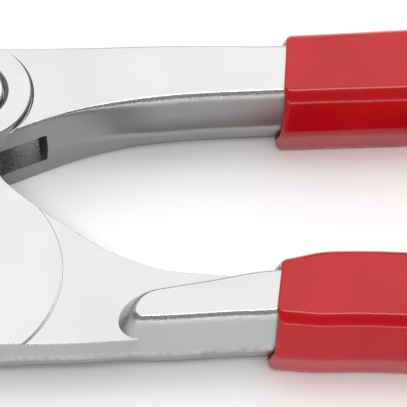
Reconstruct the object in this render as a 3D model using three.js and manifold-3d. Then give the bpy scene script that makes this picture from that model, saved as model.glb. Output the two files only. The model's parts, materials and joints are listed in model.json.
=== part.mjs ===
// Grozing pliers with a push-button adjustable box joint and dip-coated handles.
//
// Millimetres, +Z up. The pliers lie on their side: the joint turns about Z, the handles run
// towards +X, the jaws point towards -X and the outer lever's handle is on the +Y side.
// The origin is on the joint's axis, at the flat underside of the head.
import * as THREE from "three";
import { mergeVertices } from "three/addons/utils/BufferGeometryUtils.js";
import Module from "manifold-3d";

const wasm = await Module();
wasm.setup();

// ---------- driving dimensions ----------

// Overall
const jawTipX = -62;
const jawRootX = -31;
const handleEndX = 170;
const jawFaceY = -8;

// Levers: half thicknesses and how far a forged side leans out between its face and mid height
const headHalf = 6.3;
const handleHalf = 5.4;
const jawHalf = 5;
const plateHalf = 2.4;
const headEndX = 22;
const handleDraft = 2.1;
const headDraft = 1;
const plateDraft = 0.6;

// Slot through the outer lever's head
const slotClearance = 0.2;
const windowEndX = 10.4;
const windowJawX = -29;

// Raised pads
const bossRadius = 8.1;
const bossHeight = 0.8;
const landRadius = 16.6;
const landHeight = 0.2;

// Handles: middle lines, half widths and the dipped coat
const upperHandleY = 4.6;
const lowerHandleY = -31.4;
const upperHandleHalfWidth = 6.2;
const lowerHandleHalfWidth = 6.6;
const noseX = 24.4;
const noseY = -33.5;
const noseHalfWidth = 4.5;
const handleBow = 3;
const coatThickness = 0.9;
const gripStartX = 42.2;
const coatFit = 0.05;

// Joint pieces
const boreRadius = 4.9;
const runningFit = 0.15;
const buttonRadius = 4.35;
const buttonProud = 0.4;
const buttonTravel = 2.3;
const ringThickness = 0.5;
const ringDepth = 0.4;
const ringFit = 0.06;
const keySlotHalf = 2.4;
const keyHalfLength = 2.9;
const prongLength = 1.3;
const toothPitch = 1.5;
const toothHeight = 0.7;
const adjustSteps = 6;
const springRadius = 1.95;
const springWire = 0.45;
const springTurns = 5;
const springBoreRadius = 2.7;

// Jaw serrations
const serrationPitch = 1.2;
const serrationDepth = 0.4;
const jawGap = 0.3;
const jawHollow = 1.4;

// ---------- sizes that follow ----------

const midZ = headHalf;
const slotHalf = plateHalf + landHeight + slotClearance;
const adjustTravel = adjustSteps * toothPitch;
const landCentre = new THREE.Vector2(-4.4, -26.3);
const adjustAngle = Math.atan2(landCentre.x, -landCentre.y);
const roundSegments = 48;

// ---------- solids ----------

function solidOf(geometry) {
  const bare = geometry.index ? geometry.toNonIndexed() : geometry.clone();
  bare.deleteAttribute("normal");
  bare.deleteAttribute("uv");
  const merged = mergeVertices(bare, 1e-4);
  return new wasm.Manifold(
    new wasm.Mesh({
      numProp: 3,
      vertProperties: merged.attributes.position.array,
      triVerts: new Uint32Array(merged.index.array),
    }),
  );
}

function geometryOf(solid) {
  const mesh = solid.getMesh();
  const geometry = new THREE.BufferGeometry();
  geometry.setAttribute("position", new THREE.BufferAttribute(mesh.vertProperties, 3));
  geometry.setIndex(new THREE.BufferAttribute(mesh.triVerts, 1));
  geometry.computeVertexNormals();
  return geometry;
}

// A shape extruded from height low to height high, with upright sides.
function plate(shape, low, high) {
  const geometry = new THREE.ExtrudeGeometry(shape, {
    depth: high - low,
    bevelEnabled: false,
    curveSegments: 16,
  });
  return solidOf(geometry.translate(0, 0, low));
}

// A forging: the shape is its outline at mid height, and its sides lean in by draft
// on the way up to each face.
function forging(shape, half, draft) {
  const band = 0.4;
  const geometry = new THREE.ExtrudeGeometry(shape, {
    depth: band,
    bevelEnabled: true,
    bevelThickness: half - band / 2,
    bevelSize: draft,
    bevelOffset: -draft,
    bevelSegments: 1,
    curveSegments: 12,
  });
  return solidOf(geometry.translate(0, 0, midZ - band / 2));
}

function turned(profile) {
  const points = profile.map(([radius, height]) => new THREE.Vector2(radius, height));
  const geometry = new THREE.LatheGeometry(points, roundSegments);
  return solidOf(geometry.rotateX(Math.PI / 2));
}

function cylinder(radius, low, high) {
  return turned([
    [0, low],
    [radius, low],
    [radius, high],
    [0, high],
  ]);
}

// A block given by its lowest and highest corners.
function block(low, high) {
  const size = high.map((value, axis) => value - low[axis]);
  const middle = high.map((value, axis) => (value + low[axis]) / 2);
  return solidOf(new THREE.BoxGeometry(...size).translate(...middle));
}

// Turns a solid made along +Y into the direction in which the levers adjust.
function alongAdjustment(solid) {
  return solid.rotate([0, 0, THREE.MathUtils.radToDeg(adjustAngle)]);
}

function outline(points) {
  return new THREE.Shape(points.map(([x, y]) => new THREE.Vector2(x, y)));
}

// A closed smooth outline through a few points.
function smoothOutline(points, divisions) {
  const knots = points.map(([x, y]) => new THREE.Vector3(x, y, 0));
  const curve = new THREE.CatmullRomCurve3(knots, true, "centripetal");
  return new THREE.Shape(curve.getPoints(divisions).slice(0, -1).map((p) => new THREE.Vector2(p.x, p.y)));
}

// ---------- handles ----------

// Middle line of a handle: it starts at the head, bows outwards, and comes back in at its end.
function handleRoute(startX, startY, middleY, outwards) {
  const reach = handleEndX - gripStartX;
  const bow = outwards * handleBow;
  return new THREE.SplineCurve([
    new THREE.Vector2(startX, startY),
    new THREE.Vector2((startX + gripStartX) / 2, (startY + middleY) / 2),
    new THREE.Vector2(gripStartX, middleY),
    new THREE.Vector2(gripStartX + 0.2 * reach, middleY + 0.4 * bow),
    new THREE.Vector2(gripStartX + 0.5 * reach, middleY + bow),
    new THREE.Vector2(gripStartX + 0.8 * reach, middleY + 0.5 * bow),
    new THREE.Vector2(handleEndX, middleY - bow),
  ]);
}

// The points of a half circle, from its right side round to its left, seen along its heading.
function roundEnd(centre, heading, radius) {
  const steps = 10;
  const points = [];
  for (let step = 1; step < steps; step += 1) {
    const angle = heading - Math.PI / 2 + (Math.PI * step) / steps;
    points.push(new THREE.Vector2(Math.cos(angle), Math.sin(angle)).multiplyScalar(radius).add(centre));
  }
  return points;
}

// The outline of a bar that follows a route, with both ends round.
function barOutline(route, halfWidth) {
  const steps = 36;
  const left = [];
  const right = [];
  for (let step = 0; step <= steps; step += 1) {
    const centre = route.getPointAt(step / steps);
    const tangent = route.getTangentAt(step / steps);
    const side = new THREE.Vector2(-tangent.y, tangent.x).multiplyScalar(halfWidth(centre.x));
    left.push(centre.clone().add(side));
    right.push(centre.clone().sub(side));
  }
  const [start, end] = [route.getPointAt(0), route.getPointAt(1)];
  const far = roundEnd(end, route.getTangentAt(1).angle(), halfWidth(end.x));
  const near = roundEnd(start, route.getTangentAt(0).angle() + Math.PI, halfWidth(start.x));
  return new THREE.Shape([...right, ...far, ...left.reverse(), ...near]);
}

// A lever's half width: the root's, wider where the grip starts, then slimmer to the end.
function widthAlong(rootX, rootHalf, gripHalf, extra) {
  return (x) => {
    const widening = THREE.MathUtils.smoothstep(x, rootX, gripStartX + 14);
    const slimming = THREE.MathUtils.smoothstep(x, gripStartX + 30, handleEndX);
    return rootHalf + (gripHalf - rootHalf) * widening - slimming + extra;
  };
}

// Each handle's middle line, and its half width with extra added for a coat or a fit.
const outerHandle = {
  route: handleRoute(headEndX, upperHandleY - 0.4, upperHandleY, 1),
  width: (extra) => widthAlong(headEndX, upperHandleHalfWidth, upperHandleHalfWidth, extra),
};
const innerHandle = {
  route: handleRoute(noseX, noseY, lowerHandleY, -1),
  width: (extra) => widthAlong(noseX, noseHalfWidth, lowerHandleHalfWidth, extra),
};

function handleBar(handle, extra) {
  return forging(barOutline(handle.route, handle.width(extra)), handleHalf + extra, handleDraft);
}

// The dipped coat: a close skin over the bar, open at its head end and closed round its far end.
function grip(handle) {
  const keep = block([gripStartX, -100, -50], [handleEndX + 50, 100, 50]);
  return handleBar(handle, coatThickness).intersect(keep).subtract(handleBar(handle, coatFit));
}

// ---------- jaws ----------

// Heights of the serrated edge from the jaw's root to its tip. Each tooth is one pitch long.
function serratedEdge(heightAt, depth) {
  const count = Math.floor((jawRootX - jawTipX - 2) / serrationPitch);
  const points = [];
  for (let tooth = 0; tooth < count; tooth += 1) {
    const x = jawRootX - 1 - tooth * serrationPitch;
    points.push([x, heightAt(x)]);
    points.push([x - serrationPitch / 2, heightAt(x) + depth]);
  }
  return points;
}

// The lower jaw's face is hollow along its length: it meets the upper jaw at its tip and its root.
function lowerFaceY(x) {
  const along = (x - jawTipX) / (jawRootX - jawTipX);
  return jawFaceY - jawGap - jawHollow * Math.sin(Math.PI * THREE.MathUtils.clamp(along, 0, 1));
}

function lowerJaw() {
  const shape = outline([
    [-24, -20.5],
    [-24, -5.2],
    [jawRootX + 1.5, jawFaceY - jawGap - 0.5],
    ...serratedEdge(lowerFaceY, -serrationDepth),
    [jawTipX, jawFaceY - jawGap],
    [jawTipX, jawFaceY - 4.5],
    [jawTipX + 2, jawFaceY - 6],
    [jawTipX + 14, jawFaceY - 10.5],
    [jawRootX, jawFaceY - 13],
  ]);
  return plate(shape, midZ - jawHalf, midZ + jawHalf);
}

function upperJaw() {
  const shape = outline([
    [-11.8, 6.3],
    [-13, 9],
    [-18, 10.5],
    [-27, 9.5],
    [-42, 5.5],
    [jawTipX + 4, jawFaceY + 6.5],
    [jawTipX, jawFaceY + 4],
    [jawTipX, jawFaceY],
    ...serratedEdge(() => jawFaceY, serrationDepth).reverse(),
    [jawRootX, jawFaceY],
    [-25, -4],
    [-15.5, 2.2],
  ]);
  return plate(shape, midZ - jawHalf, midZ + jawHalf);
}

// ---------- outer lever ----------

function headOutline() {
  return smoothOutline(
    [
      [38, 0],
      [28, -0.7],
      [20, -2],
      [12.5, -4.3],
      [4, -7],
      [-12, -14.5],
      [-22, -19.5],
      [-31, -21.5],
      [-36, -20],
      [-37, -14],
      [-34, -10],
      [-27, -7.2],
      [-17, -1.6],
      [-9.5, 4.6],
      [-3, 9.4],
      [4, 9],
      [11, 8.6],
      [20, 9.2],
      [29, 9],
      [38, 8.8],
    ],
    110,
  );
}

// Thickness of the outer lever seen from the side: thick at the head, thinner along the handle.
function thicknessEnvelope() {
  const far = handleEndX + 60;
  const upper = [
    [-90, headHalf],
    [headEndX - 15, headHalf],
    [headEndX, handleHalf],
    [far, handleHalf],
  ];
  const lower = upper.map(([x, half]) => [x, -half]).reverse();
  const shape = outline([...upper, ...lower].map(([x, z]) => [x, z + midZ]));
  const geometry = new THREE.ExtrudeGeometry(shape, { depth: 200, bevelEnabled: false });
  geometry.rotateX(Math.PI / 2).translate(0, 100, 0);
  return solidOf(geometry);
}

// The slot that the inner lever passes through. Its end towards the handle is round, and it
// flares on the far side, where the inner lever's neck swings as the handles open.
function leverSlot() {
  const shape = new THREE.Shape();
  shape.moveTo(windowJawX, midZ - slotHalf);
  shape.lineTo(windowEndX - slotHalf, midZ - slotHalf);
  shape.absarc(windowEndX - slotHalf, midZ, slotHalf, -Math.PI / 2, Math.PI / 2, false);
  shape.lineTo(windowJawX, midZ + slotHalf);
  shape.closePath();
  const geometry = new THREE.ExtrudeGeometry(shape, { depth: 80, bevelEnabled: false, curveSegments: 12 });
  geometry.rotateX(Math.PI / 2).translate(0, 40, 0);
  const flare = outline([
    [windowEndX - 6, 0],
    [windowEndX - slotHalf, 0],
    [windowEndX + 10, 12],
    [windowEndX - 6, 12],
  ]);
  return solidOf(geometry).add(plate(flare, midZ - slotHalf, midZ + slotHalf));
}

// Heights of the two retaining rings and of the button's flange under the upper one.
const bossTopZ = midZ + headHalf + bossHeight;
const upperRingZ = bossTopZ - ringDepth - ringThickness;
const lowerRingZ = ringDepth;
const ringOuterRadius = boreRadius + 0.4;

function jointBores() {
  const through = cylinder(boreRadius, -1, bossTopZ + 1);
  const upperGroove = cylinder(ringOuterRadius + ringFit, upperRingZ - ringFit, upperRingZ + ringThickness + ringFit);
  const lowerGroove = cylinder(ringOuterRadius + ringFit, lowerRingZ - ringFit, lowerRingZ + ringThickness + ringFit);
  return through.add(upperGroove).add(lowerGroove);
}

function outerLever() {
  const head = forging(headOutline(), headHalf, headDraft);
  const bar = handleBar(outerHandle, 0);
  const boss = cylinder(bossRadius, midZ + slotHalf + 1, bossTopZ);
  return head
    .add(bar)
    .intersect(thicknessEnvelope())
    .add(lowerJaw())
    .add(boss)
    .subtract(leverSlot())
    .subtract(jointBores());
}

// ---------- inner lever ----------

function plateOutline() {
  return smoothOutline(
    [
      [40, -28],
      [36, -26.6],
      [26.5, -25.5],
      [19.3, -22.6],
      [12.6, -17.8],
      [6.8, -13],
      [4.3, -9.6],
      [4.2, -4],
      [4.8, 0],
      [5.6, 4],
      [3.4, 7.6],
      [-2, 8.4],
      [-9, 7.4],
      [-18, 8.2],
      [-27, 5],
      [-29, -2],
      [-25.5, -6.5],
      [-19, -8],
      [-15.2, -12],
      [-15.4, -19],
      [-17.1, -26.3],
      [-14.2, -34.5],
      [-4.4, -39],
      [6, -39],
      [17.5, -38.6],
      [32, -37.4],
      [40, -36.6],
    ],
    190,
  );
}

// The ground pad that bears on the walls of the slot, clipped to the plate.
function landPad() {
  const nearC = new THREE.Shape();
  nearC.absarc(landCentre.x, landCentre.y, landRadius, 0, 2 * Math.PI, false);
  const headPart = outline([
    [landCentre.x + 0.7 * landRadius, landCentre.y + 0.7 * landRadius],
    [12, 20],
    [-26, 20],
    [-26, landCentre.y],
    [landCentre.x, landCentre.y],
  ]);
  const low = midZ - plateHalf - landHeight;
  const high = midZ + plateHalf + landHeight;
  return plate(nearC, low, high).add(plate(headPart, low, high));
}

// Gaps between the rack's teeth, one for each place of the key and two more for its other teeth.
function rackSpaces() {
  const places = adjustSteps + 3;
  let spaces = null;
  for (let place = 0; place < places; place += 1) {
    const y = toothPitch - place * toothPitch;
    const space = plate(
      outline([
        [-keySlotHalf + 0.5, y - 0.6],
        [-keySlotHalf + 0.5, y + 0.6],
        [-keySlotHalf, y + 0.6],
        [-keySlotHalf - toothHeight, y + 0.3],
        [-keySlotHalf - toothHeight, y - 0.3],
        [-keySlotHalf, y - 0.6],
      ]),
      midZ - plateHalf,
      midZ + plateHalf + 1,
    );
    spaces = spaces ? spaces.add(space) : space;
  }
  return spaces;
}

// The toothed slot: straight on one side, a rack on the other, and a relief under the rack.
const keySlotEnd = keyHalfLength + prongLength + 0.7;
const reliefTopZ = midZ + 0.2;

function keySlot() {
  const slot = block(
    [-keySlotHalf, -adjustTravel - keySlotEnd, -5],
    [keySlotHalf, keySlotEnd, 2 * midZ + 5],
  );
  const relief = block(
    [-keySlotHalf - toothHeight - 0.2, -adjustTravel - keySlotEnd, -5],
    [0, keySlotEnd, reliefTopZ],
  );
  return alongAdjustment(slot.add(relief).add(rackSpaces()));
}

function innerLever() {
  const flatPlate = forging(plateOutline(), plateHalf, plateDraft);
  const pad = landPad().intersect(forging(plateOutline(), plateHalf + landHeight, plateDraft));
  const bar = handleBar(innerHandle, 0);
  return flatPlate.add(pad).add(bar).add(upperJaw()).subtract(keySlot());
}

// ---------- joint pieces ----------

const keyLowZ = reliefTopZ + 0.05;
const keyHighZ = keyLowZ + buttonTravel - 0.1;
const flangeHighZ = upperRingZ - 0.1;
const flangeLowZ = midZ + plateHalf + landHeight + buttonTravel + 0.1;
const keyNeckRadius = 2;
const springTopZ = keyLowZ - 0.05;
const springFloorZ = 1.2;

// The push button: a domed head, a flange under the upper ring, and a toothed key in the slot.
function lockButton() {
  const topZ = bossTopZ + buttonProud;
  const body = turned([
    [0, keyLowZ - 1.6],
    [1.2, keyLowZ - 1.6],
    [1.2, keyLowZ + 0.2],
    [keyNeckRadius, keyLowZ + 0.2],
    [keyNeckRadius, flangeLowZ],
    [boreRadius - runningFit, flangeLowZ],
    [boreRadius - runningFit, flangeHighZ],
    [buttonRadius, flangeHighZ],
    [buttonRadius, topZ - 0.4],
    [buttonRadius - 0.4, topZ],
    [0, topZ],
  ]);
  const wall = keySlotHalf - runningFit;
  let key = block([-wall, -keyHalfLength, keyLowZ], [wall, keyHalfLength, keyHighZ]);
  for (const y of [-toothPitch, 0, toothPitch]) {
    const tooth = outline([
      [-wall + 0.4, y - 0.45],
      [-wall + 0.4, y + 0.45],
      [-wall, y + 0.45],
      [-keySlotHalf - toothHeight + runningFit, y + 0.18],
      [-keySlotHalf - toothHeight + runningFit, y - 0.18],
      [-wall, y - 0.45],
    ]);
    key = key.add(plate(tooth, keyLowZ, keyHighZ));
  }
  return body.add(alongAdjustment(key));
}

// The sleeve that turns in the lower wall: a spring cup with two prongs that guide the inner lever.
function pivotSleeve() {
  const journal = boreRadius - runningFit;
  const cupTopZ = midZ - plateHalf - landHeight - 0.1;
  const cup = turned([
    [0, 0],
    [journal - 0.45, 0],
    [journal - 0.45, lowerRingZ + ringThickness + 0.1],
    [journal, lowerRingZ + ringThickness + 0.1],
    [journal, cupTopZ],
    [springBoreRadius, cupTopZ],
    [springBoreRadius, springFloorZ],
    [0, springFloorZ],
  ]);
  const wall = keySlotHalf - runningFit;
  const prongs = [-1, 1].map((side) => {
    const near = side * (keyHalfLength + runningFit);
    const far = side * (keyHalfLength + runningFit + prongLength);
    const low = [-wall, Math.min(near, far), cupTopZ - 0.5];
    const high = [wall, Math.max(near, far), midZ + plateHalf];
    return alongAdjustment(block(low, high));
  });
  const reach = cylinder(journal, 0, 2 * midZ);
  return cup.add(prongs[0].add(prongs[1]).intersect(reach));
}

// A retaining ring, open over a small gap so that it can be squeezed into its groove.
function retainingRing(innerRadius, z) {
  const gap = 0.35;
  const shape = new THREE.Shape();
  shape.absarc(0, 0, ringOuterRadius, gap, 2 * Math.PI - gap, false);
  shape.absarc(0, 0, innerRadius, 2 * Math.PI - gap, gap, true);
  shape.closePath();
  const geometry = new THREE.ExtrudeGeometry(shape, {
    depth: ringThickness,
    bevelEnabled: false,
    curveSegments: 40,
  });
  return solidOf(geometry.translate(0, 0, z));
}

class Helix extends THREE.Curve {
  constructor(radius, turns, low, high) {
    super();
    Object.assign(this, { radius, turns, low, high });
  }
  getPoint(t, target = new THREE.Vector3()) {
    const angle = 2 * Math.PI * this.turns * t;
    const z = THREE.MathUtils.lerp(this.low, this.high, t);
    return target.set(this.radius * Math.cos(angle), this.radius * Math.sin(angle), z);
  }
}

function buttonSpring() {
  const section = new THREE.Shape();
  section.absarc(0, 0, springWire / 2, 0, 2 * Math.PI, false);
  const low = springFloorZ + springWire / 2 + 0.05;
  const high = springTopZ - springWire / 2;
  return new THREE.ExtrudeGeometry(section, {
    steps: springTurns * 12,
    bevelEnabled: false,
    curveSegments: 3,
    extrudePath: new Helix(springRadius - springWire / 2, springTurns, low, high),
  });
}

// ---------- the assembly ----------

const chrome = { color: 0xe6e6e3, roughness: 0.32, metalness: 1 };
const brightSteel = { color: 0xf0f0ee, roughness: 0.2, metalness: 1 };
const springSteel = { color: 0x8d8f92, roughness: 0.4, metalness: 1 };
const redCoat = { color: 0xb01218, roughness: 0.25, metalness: 0 };

const pliers = new THREE.Group();

function addPart(name, geometry, finish) {
  const mesh = new THREE.Mesh(geometry, new THREE.MeshStandardMaterial(finish));
  mesh.name = name;
  pliers.add(mesh);
}

addPart("outer_lever", geometryOf(outerLever()), chrome);
addPart("inner_lever", geometryOf(innerLever()), chrome);
addPart("outer_grip", geometryOf(grip(outerHandle)), redCoat);
addPart("inner_grip", geometryOf(grip(innerHandle)), redCoat);
addPart("lock_button", geometryOf(lockButton()), brightSteel);
addPart("pivot_sleeve", geometryOf(pivotSleeve()), brightSteel);
addPart("button_ring", geometryOf(retainingRing(buttonRadius + 0.1, upperRingZ)), springSteel);
addPart("sleeve_ring", geometryOf(retainingRing(boreRadius - runningFit - 0.35, lowerRingZ)), springSteel);
addPart("button_spring", buttonSpring(), springSteel);

export default pliers;
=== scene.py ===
# %% [markdown]
# # Grozing pliers in Blender
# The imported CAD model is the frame: it says where every piece is and what moves. This notebook builds a
# finished piece for each CAD node around that frame: two chrome-plated forgings, two dipped grips, and the
# push button with the pieces of its joint. Lengths below are in millimetres until a mesh is made.

# %% Load the frame
import json

import bmesh
import bpy
import numpy as np
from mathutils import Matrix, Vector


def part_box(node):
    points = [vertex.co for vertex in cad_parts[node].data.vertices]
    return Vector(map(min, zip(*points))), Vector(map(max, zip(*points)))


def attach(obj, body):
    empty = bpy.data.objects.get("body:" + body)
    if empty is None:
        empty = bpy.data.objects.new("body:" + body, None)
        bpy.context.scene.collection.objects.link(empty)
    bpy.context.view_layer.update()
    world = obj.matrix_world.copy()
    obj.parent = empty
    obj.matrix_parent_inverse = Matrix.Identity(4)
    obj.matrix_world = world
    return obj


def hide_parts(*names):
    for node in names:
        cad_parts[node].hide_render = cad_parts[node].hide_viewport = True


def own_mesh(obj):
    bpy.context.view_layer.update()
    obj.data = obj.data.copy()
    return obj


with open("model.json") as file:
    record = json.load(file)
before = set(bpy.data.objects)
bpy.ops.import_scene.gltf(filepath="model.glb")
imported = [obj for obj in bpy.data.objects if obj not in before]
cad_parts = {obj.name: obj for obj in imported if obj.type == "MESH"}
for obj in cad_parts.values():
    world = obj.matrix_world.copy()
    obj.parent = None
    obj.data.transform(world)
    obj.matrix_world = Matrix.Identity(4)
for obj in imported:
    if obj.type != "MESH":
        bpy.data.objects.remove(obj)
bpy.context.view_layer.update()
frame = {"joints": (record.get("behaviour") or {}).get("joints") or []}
MM = 0.001

# %% [markdown]
# ## Places taken from the frame
# The main places are measured from the CAD nodes' boxes: where the grips start and end, the mid height, the
# tops of the boss and the button, and the rings. The joint's axis is at the origin. Finer sizes are written
# in the cell that needs them first.

# %% Read the places


def node_box(name):
    """The low and high corners of a CAD node's box, in millimetres."""
    low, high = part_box(name)
    return np.array(low) / MM, np.array(high) / MM


lever_low, lever_high = node_box("outer_lever")
grip_low, grip_high = node_box("outer_grip")
button_low, button_high = node_box("lock_button")
ring_low, ring_high = node_box("button_ring")
sleeve_ring_low, sleeve_ring_high = node_box("sleeve_ring")
spring_low, spring_high = node_box("button_spring")

grip_start = grip_low[0]
grip_end = grip_high[0]
mid_z = (grip_low[2] + grip_high[2]) / 2
boss_top = lever_high[2]
joints = {joint["name"]: joint for joint in frame["joints"]}
slide_axis = joints["jaw_adjust"]["axis"]
slide_travel = joints["jaw_adjust"]["range_m"][1] / MM
press_travel = joints["button_press"]["range_m"][1] / MM
print("grips from", grip_start, "to", grip_end, "mid height", mid_z, "boss top", boss_top)

# %% [markdown]
# ## Meshes from arrays
# Every surface is worked out as a numpy array first. A grid of points with rows and columns becomes quads,
# and an outline carried through a few heights becomes a wall closed by a flat face at each end.

# %% Turn arrays into meshes


def mesh_object(name, points, faces):
    """An object made of points in millimetres and faces, with doubles merged and faces turned outwards."""
    mesh = bpy.data.meshes.new(name)
    mesh.from_pydata((np.asarray(points, float).reshape(-1, 3) * MM).tolist(), [], faces)
    work = bmesh.new()
    work.from_mesh(mesh)
    bmesh.ops.remove_doubles(work, verts=work.verts, dist=2e-7)
    bmesh.ops.dissolve_degenerate(work, edges=work.edges, dist=1e-8)
    bmesh.ops.recalc_face_normals(work, faces=work.faces)
    work.to_mesh(mesh)
    work.free()
    piece = bpy.data.objects.new(name, mesh)
    bpy.context.scene.collection.objects.link(piece)
    return piece


def grid_faces(rows, columns, closed_rows=False, closed_columns=False):
    """Quads between neighbouring points of a grid; a closed direction also joins its last to its first."""
    row = np.arange(rows if closed_rows else rows - 1)[:, None]
    column = np.arange(columns if closed_columns else columns - 1)[None, :]
    next_row = (row + 1) % rows
    next_column = (column + 1) % columns
    corners = [row * columns + column, row * columns + next_column]
    corners += [next_row * columns + next_column, next_row * columns + column]
    return np.stack(np.broadcast_arrays(*corners), -1).reshape(-1, 4).tolist()


def walled(name, rings):
    """A solid from rings of points, each the same outline at its own height and inset, with flat ends."""
    count, around = rings.shape[:2]
    faces = grid_faces(count, around, closed_columns=True)
    faces += [list(range(around)), [(count - 1) * around + k for k in range(around)]]
    return mesh_object(name, rings, faces)


print("mesh helpers ready")

# %% [markdown]
# ## Curves through a few points
# A forging's outline is a smooth curve. A natural cubic spline passes through a handful of knots with no
# kink, like a draughtsman's flexible strip held by pins.

# %% Smooth curves and outlines


def spline(knots, at):
    """Natural cubic through (x, y) knots at the places in at: second slopes solve one banded system."""
    x, y = np.array(knots, float).T
    h = np.diff(x)
    size = len(x)
    system = np.eye(size)
    inner = np.arange(1, size - 1)
    system[inner, inner - 1] = h[:-1]
    system[inner, inner] = 2 * (h[:-1] + h[1:])
    system[inner, inner + 1] = h[1:]
    right = np.zeros(size)
    right[1:-1] = 6 * (np.diff(y)[1:] / h[1:] - np.diff(y)[:-1] / h[:-1])
    bend = np.linalg.solve(system, right)
    at = np.clip(at, x[0], x[-1])
    k = np.clip(np.searchsorted(x, at) - 1, 0, size - 2)
    a, b = (x[k + 1] - at) / h[k], (at - x[k]) / h[k]
    line = a * y[k] + b * y[k + 1]
    return line + ((a**3 - a) * bend[k] + (b**3 - b) * bend[k + 1]) * h[k] ** 2 / 6


def closed_curve(knots, count):
    """Closed Catmull-Rom curve through the knots, resampled to count points an equal distance apart."""
    p = np.array(knots, float)
    t = np.linspace(0, 1, 24, endpoint=False)[None, :, None]
    p0, p1, p2, p3 = (np.roll(p, shift, axis=0)[:, None, :] for shift in (1, 0, -1, -2))
    cubic = (-p0 + 3 * p1 - 3 * p2 + p3) * t**3 + (2 * p0 - 5 * p1 + 4 * p2 - p3) * t**2
    curve = 0.5 * (cubic + (p2 - p0) * t + 2 * p1)
    return resample(curve.reshape(-1, 2), count)


def resample(loop, count):
    """Points an equal distance apart along a closed loop."""
    ring = np.vstack([loop, loop[:1]])
    along = np.concatenate([[0], np.cumsum(np.linalg.norm(np.diff(ring, axis=0), axis=1))])
    at = np.linspace(0, along[-1], count, endpoint=False)
    return np.stack([np.interp(at, along, ring[:, axis]) for axis in (0, 1)], 1)


def outward(loop):
    """Unit normals of a closed loop, pointing out of the area that it holds."""
    tangent = np.roll(loop, -1, axis=0) - np.roll(loop, 1, axis=0)
    x, y = loop.T
    area = np.sum(x * np.roll(y, -1) - y * np.roll(x, -1))
    normal = np.stack([tangent[:, 1], -tangent[:, 0]], 1) * np.sign(area)
    return normal / np.maximum(np.linalg.norm(normal, axis=1, keepdims=True), 1e-9)


def smoothstep(x, start, end):
    """Nothing before start, one after end, and three t squared less two t cubed between them."""
    t = np.clip((x - start) / (end - start), 0, 1)
    return t * t * (3 - 2 * t)


print("curve helpers ready")

# %% [markdown]
# ## A forged edge
# A drop forging has a flat face, a small rounded corner, a short steep chamfer, a side that leans out to the
# parting line at mid height, and the same again below. Trimming the flash leaves a narrow upright band at the
# parting line. The profile is a string of corners, each rounded by a quadratic curve, written as weights on
# the corners so that the sizes can change along a lever.

# %% The side profile of a forging


def corner_weights(before, after, steps):
    """Weights on a polyline's corners for its rounded form: each inner corner is a quadratic curve that
    starts a share before of the way to the last corner and ends a share after of the way to the next."""
    size = len(before) + 2
    rows = [np.eye(size)[0]]
    t = np.linspace(0, 1, steps)[:, None]
    for k, (back, ahead) in enumerate(zip(before, after), start=1):
        start = (1 - back) * np.eye(size)[k] + back * np.eye(size)[k - 1]
        end = (1 - ahead) * np.eye(size)[k] + ahead * np.eye(size)[k + 1]
        rows.extend((1 - t) ** 2 * start + 2 * t * (1 - t) * np.eye(size)[k] + t**2 * end)
    rows.append(np.eye(size)[-1])
    return np.array(rows)


def forged_side(half, draft, chamfer, drop, flat=0.5, soft=1.0, under=1.0, flash=0.45):
    """Insets and heights down a forging's side at each station: arrays of stations by profile points. The
    corners are the face's inner edge, the chamfer's two edges and the trimmed flash at the parting line,
    which is twice flash high, then the same below, where draft and chamfer are under times as large."""
    half, draft, chamfer, drop = np.broadcast_arrays(*np.atleast_1d(half, draft, chamfer, drop))
    nothing = np.zeros_like(half, dtype=float)
    edge = draft + chamfer
    top = [edge + flat, edge, draft, nothing, nothing]
    below = [draft * (0.6 + 0.4 * under), edge * (0.6 + 0.4 * under) - chamfer * (0.4 - 0.4 * under)]
    below += [below[-1] + flat]
    inset = np.stack(top + below, 1)
    flash = nothing + flash
    height = np.stack([half, half, half - drop, flash, -flash, drop * under - half, -half, -half], 1)
    before = np.array([0.35, 0.45, 0.08, 0.3, 0.18, 0.3]) * soft
    after = np.array([0.3, 0.18, 0.3, 0.08, 0.45, 0.35]) * soft
    weights = corner_weights(np.minimum(before, 0.9), np.minimum(after, 0.48), 7)
    return inset @ weights.T, height @ weights.T


print("profile points down a side:", forged_side(5.4, 1.9, 0.6, 1.0)[0].shape[1])

# %% [markdown]
# ## A lever as paired edges
# A lever is long, so its outline is held as pairs: a point on its upper edge and one on its lower edge at
# each station. The side profile hangs on both, straight rows join them across the two faces, and at a round
# end the pairs close up into one point.

# %% Loft a lever from its two edges

end_steps = 18


def stations(start, end, near_radius, far_radius, step):
    """Places along X: an even step apart in the middle, and an even angle apart round both ends."""
    turn = np.linspace(0, np.pi / 2, end_steps)
    near = start + near_radius * (1 - np.cos(turn))
    far = end - far_radius * (1 - np.cos(turn[::-1]))
    middle = np.arange(near[-1] + step, far[0] - step / 2, step)
    return np.concatenate([near, middle, far])


def round_ends(x, near_radius, far_radius):
    """One along the middle, falling to nothing at both ends as a circle does."""
    near = np.clip(1 - (x - x[0]) / near_radius, 0, 1)
    far = np.clip(1 - (x[-1] - x) / far_radius, 0, 1)
    return np.sqrt(np.clip(1 - np.maximum(near, far) ** 2, 0, None))


def paired_outline(x, face_low, face_high, near_radius, far_radius, share=0.5):
    """The upper and lower chains of a face's outline. Each end closes on the line that lies this share of
    the way from the lower edge to the upper, and each chain leaves it on a quarter of an ellipse."""
    share = share + (0.5 - share) * smoothstep(x, x[0], x[-1])
    width = face_high - face_low
    middle = face_low + share * width
    upper = middle + (1 - share) * width * round_ends(x, near_radius, far_radius)
    lower = middle - share * width * round_ends(x, near_radius * share / (1 - share), far_radius)
    return np.stack([x, upper], 1), np.stack([x, lower], 1)


def chain_normals(upper, lower):
    """Outward unit normals of both chains, found by walking the closed outline that they make."""
    loop = np.vstack([lower, upper[-2:0:-1]])
    normal = outward(loop)
    count = len(lower)
    return np.vstack([normal[:1], normal[count:][::-1], normal[count - 1 : count]]), normal[:count]


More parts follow.
